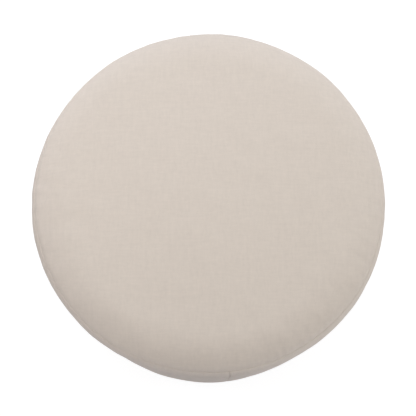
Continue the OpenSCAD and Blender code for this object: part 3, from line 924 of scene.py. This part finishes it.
def planed_pine():
    """Planed pine posts: straight yellow grain up the post, with darker late wood."""
    finish, tree = new_finish("planed_pine", "#d8b98a", 0.55)
    at = add(tree, "ShaderNodeTexCoord")["Object"]
    bend = patches(tree, at, (30 * MM, 30 * MM, 260 * MM))
    fibres = patches(tree, at, (0.7 * MM, 0.7 * MM, 30 * MM), 1.0)
    board = (60 * MM, 60 * MM, 600 * MM)
    spot = add(tree, "ShaderNodeVectorMath", (at, board), operation="DIVIDE")[0]
    rings = add(tree, "ShaderNodeTexWave", {
        "Vector": spot, "Scale": 5.0, "Distortion": 3.0, "Detail": 1.0
    }, wave_type="BANDS", bands_direction="X")["Fac"]
    late = add(tree, "ShaderNodeMath", (rings, 2.5), operation="POWER")[0]
    tone = total(tree, (bend, 1), (late, -0.35), (fibres, 0.2))
    grained(finish, tone, 0.83, 1.23, fibres, 0.06 * MM)
    return finish


def tempered_hardboard():
    """Thin tempered hardboard: pressed brown fibres with a hard smooth face."""
    finish, tree = new_finish("tempered_hardboard", "#7d5f45", 0.45)
    at = add(tree, "ShaderNodeTexCoord")["Object"]
    flecks = patches(tree, at, (1.2 * MM,) * 3, 4.0)
    cloud = patches(tree, at, (50 * MM,) * 3)
    tone = total(tree, (cloud, 0.4), (flecks, 0.6))
    grained(finish, tone, 0.8, 1.2, flecks, 0.04 * MM)
    return finish


def galvanised_steel():
    """Bright zinc-plated wire and screws: grey metal with fine drawn marks and dull spots."""
    finish, tree = new_finish("galvanised_steel", "#b8babc", 0.35, {"Metallic": 1.0})
    at = add(tree, "ShaderNodeTexCoord")["Object"]
    spots = patches(tree, at, (0.8 * MM,) * 3, 3.0)
    dull = add(tree, "ShaderNodeMapRange", {"Value": spots, "To Min": 0.28, "To Max": 0.5})[0]
    tree.links.new(dull, shader_of(finish).inputs["Roughness"])
    grained(finish, spots, 0.85, 1.1, spots, 0.02 * MM, 0.3)
    return finish


def moulded_nylon():
    """Black nylon moulded in a spark-eroded tool: a fine even grain with a dull gloss."""
    finish, tree = new_finish("moulded_nylon", "#2b2b2c", 0.45)
    at = add(tree, "ShaderNodeTexCoord")["Object"]
    grain = patches(tree, at, (0.35 * MM,) * 3)
    scuffs = patches(tree, at, (6 * MM, 1 * MM, 6 * MM), 3.0)
    grained(finish, scuffs, 0.75, 1.35, grain, 0.04 * MM)
    return finish


def spunbond_nonwoven():
    """Black spunbond polypropylene: random fine fibres, welded in a grid of small points."""
    finish, tree = new_finish("spunbond_nonwoven", "#1d1d1f", 0.85, {"Sheen Weight": 0.2})
    weld_pitch = (1.3 * MM, 1.3 * MM, 1)
    at = add(tree, "ShaderNodeTexCoord")["Object"]
    fibres = patches(tree, at, (0.3 * MM, 2.5 * MM, 1), 3.0)
    crossing = patches(tree, at, (2.5 * MM, 0.3 * MM, 1), 3.0)
    spot = add(tree, "ShaderNodeVectorMath", (at, weld_pitch), operation="DIVIDE")[0]
    welds = add(tree, "ShaderNodeTexVoronoi", {
        "Vector": spot, "Scale": 1.0, "Randomness": 0.0
    })["Distance"]
    point = add(tree, "ShaderNodeMath", (welds, 0.25), operation="LESS_THAN")[0]
    tone = total(tree, (fibres, 0.5), (crossing, 0.5), (point, -0.3))
    height = total(tree, (fibres, 0.5), (crossing, 0.5), (point, -0.6))
    grained(finish, tone, 0.7, 1.8, height, 0.1 * MM)
    return finish


# The studio, whose lamps were fitted to the light of the photograph

FLOOR_REACH = 2
FLOOR_GREY = 0.55
FLOOR_GLOW = 1.4
FLOOR_GLOW_SHARE = 0.65
LAMP_AIM = Vector((0, 0, 0.2))
LAMP_SPREAD = 0.4
CAMERA_PLACE = Vector((-0.001, -0.3345, 1.5905))
CAMERA_AIM = Vector((-0.001, -0.0327, 0.351))


def seen_directly(tree):
    """1 where the camera sees a surface, also in a reflection or through glass, and else 0."""
    ray = add(tree, "ShaderNodeLightPath")
    seen = ray["Is Camera Ray"]
    for way in ("Is Glossy Ray", "Is Transmission Ray"):
        seen = add(tree, "ShaderNodeMath", (seen, ray[way]), operation="MAXIMUM")[0]
    return seen


def world(strength):
    """Even light from all round, which the camera sees as white."""
    studio = bpy.data.worlds.new("studio")
    bpy.context.scene.world = studio
    studio.use_nodes = True
    tree = studio.node_tree
    tree.nodes.clear()
    room_light = add(tree, "ShaderNodeBackground", ((1, 1, 1, 1), strength))[0]
    white = add(tree, "ShaderNodeBackground", ((1, 1, 1, 1), 1.0))[0]
    mix = add(tree, "ShaderNodeMixShader", (seen_directly(tree), room_light, white))[0]
    add(tree, "ShaderNodeOutputWorld", (mix,))


def floor():
    """A pale floor, which the camera sees white, but for the pouf's shadow."""
    corners = [(-1, -1), (1, -1), (1, 1), (-1, 1)]
    points = [(x * FLOOR_REACH, y * FLOOR_REACH, 0) for x, y in corners]
    obj = new_mesh("floor", points, [(0, 1, 2, 3)])
    paper = bpy.data.materials.new("white_paper_floor")
    paper.use_nodes = True
    tree = paper.node_tree
    tree.nodes.clear()
    matt = add(tree, "ShaderNodeBsdfDiffuse", ((FLOOR_GREY,) * 3 + (1,),))[0]
    glow = add(tree, "ShaderNodeEmission", ((1, 1, 1, 1), FLOOR_GLOW))[0]
    seen = seen_directly(tree)
    share = add(tree, "ShaderNodeMath", (seen, FLOOR_GLOW_SHARE), operation="MULTIPLY")[0]
    mix = add(tree, "ShaderNodeMixShader", (share, matt, glow))[0]
    add(tree, "ShaderNodeOutputMaterial", (mix,))
    obj.data.materials.append(paper)


def softbox(name, azimuth, elevation, distance, watts, colour):
    """A round soft lamp aimed at the pouf. Azimuth 0 is the right, 90 the back."""
    azimuth, elevation = math.radians(azimuth), math.radians(elevation)
    level = math.cos(elevation)
    out = Vector((level * math.cos(azimuth), level * math.sin(azimuth), math.sin(elevation)))
    lamp = bpy.data.lights.new(name, "AREA")
    lamp.shape = "DISK"
    lamp.size = LAMP_SPREAD * distance
    lamp.energy = watts
    lamp.color = colour
    obj = bpy.data.objects.new(name, lamp)
    obj.location = LAMP_AIM + out * distance
    obj.rotation_euler = out.to_track_quat("Z", "Y").to_euler()
    bpy.context.scene.collection.objects.link(obj)


def camera():
    """The photograph's view: from standing height, a step in front of the pouf."""
    sensor_mm, image_px, focal_px = 36, 416, 791.3
    lens = bpy.data.cameras.new("camera")
    lens.sensor_width = sensor_mm
    lens.lens = focal_px / image_px * sensor_mm
    obj = bpy.data.objects.new("camera", lens)
    obj.location = CAMERA_PLACE
    obj.rotation_euler = (CAMERA_AIM - CAMERA_PLACE).to_track_quat("-Z", "Y").to_euler()
    bpy.context.scene.collection.objects.link(obj)
    bpy.context.scene.camera = obj


def finished(piece, finish, slot, *nodes):
    """Gives a piece its finish, hides the parts of the model that it stands for, and hangs it from
    the root.
    """
    piece.data.materials.clear()
    piece.data.materials.append(finish)
    if nodes:
        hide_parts(*nodes)
    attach(piece, "root")
    return piece


bpy.context.scene.view_settings.view_transform = "Standard"
camera()
world(0.2)
floor()
softbox("overhead_softbox", 0, 90, 1.8, 6.7, (1.03, 1, 0.85))
softbox("back_softbox", 90, 35, 3, 36, (0.97, 1, 1.09))
softbox("back_left_softbox", 135, 35, 1.8, 3.6, (0.92, 1, 1.06))
softbox("left_softbox", 180, 35, 1.8, 5.7, (1.05, 1, 1.02))
softbox("front_low_softbox", 270, 12, 3, 16.5, (1, 1, 1.09))
softbox("right_low_softbox", 0, 12, 3, 32.5, (1, 1, 1))

linen = linen_look()
top = finished(top_cloth(), linen, "linen", "top_cover")
back = finished(side_cloth("side_cloth_back", SEAM_TURN), linen, "linen", "side_cover_back")
front = finished(
    side_cloth("side_cloth_front", SEAM_TURN + math.pi), linen, "linen", "side_cover_front"
)
wadding_layer = finished(wadding(), polyester_wadding(), "wadding", "top_wadding")
foam = polyurethane_foam()
side_strip = finished(side_foam(), foam, "foam", "side_foam")
block = finished(seat_foam(), foam, "foam", "seat_foam")
pad = finished(crown_pad(), foam, "foam", "crown_pad")
dust = finished(dust_cloth(), spunbond_nonwoven(), "nonwoven", "dust_cover")
thread = sewing_thread()
finished(stitches(thread), thread, "linen")

carried_over = {
    "plywood": birch_plywood(),
    "pine": planed_pine(),
    "hardboard": tempered_hardboard(),
    "galvanised_steel": galvanised_steel(),
    "nylon": moulded_nylon(),
}
for part in frame["record"]["subparts"]:
    if part["material_slot"] in carried_over:
        node = frame["nodes"][part["node"]]
        node.data.materials.clear()
        node.data.materials.append(carried_over[part["material_slot"]])
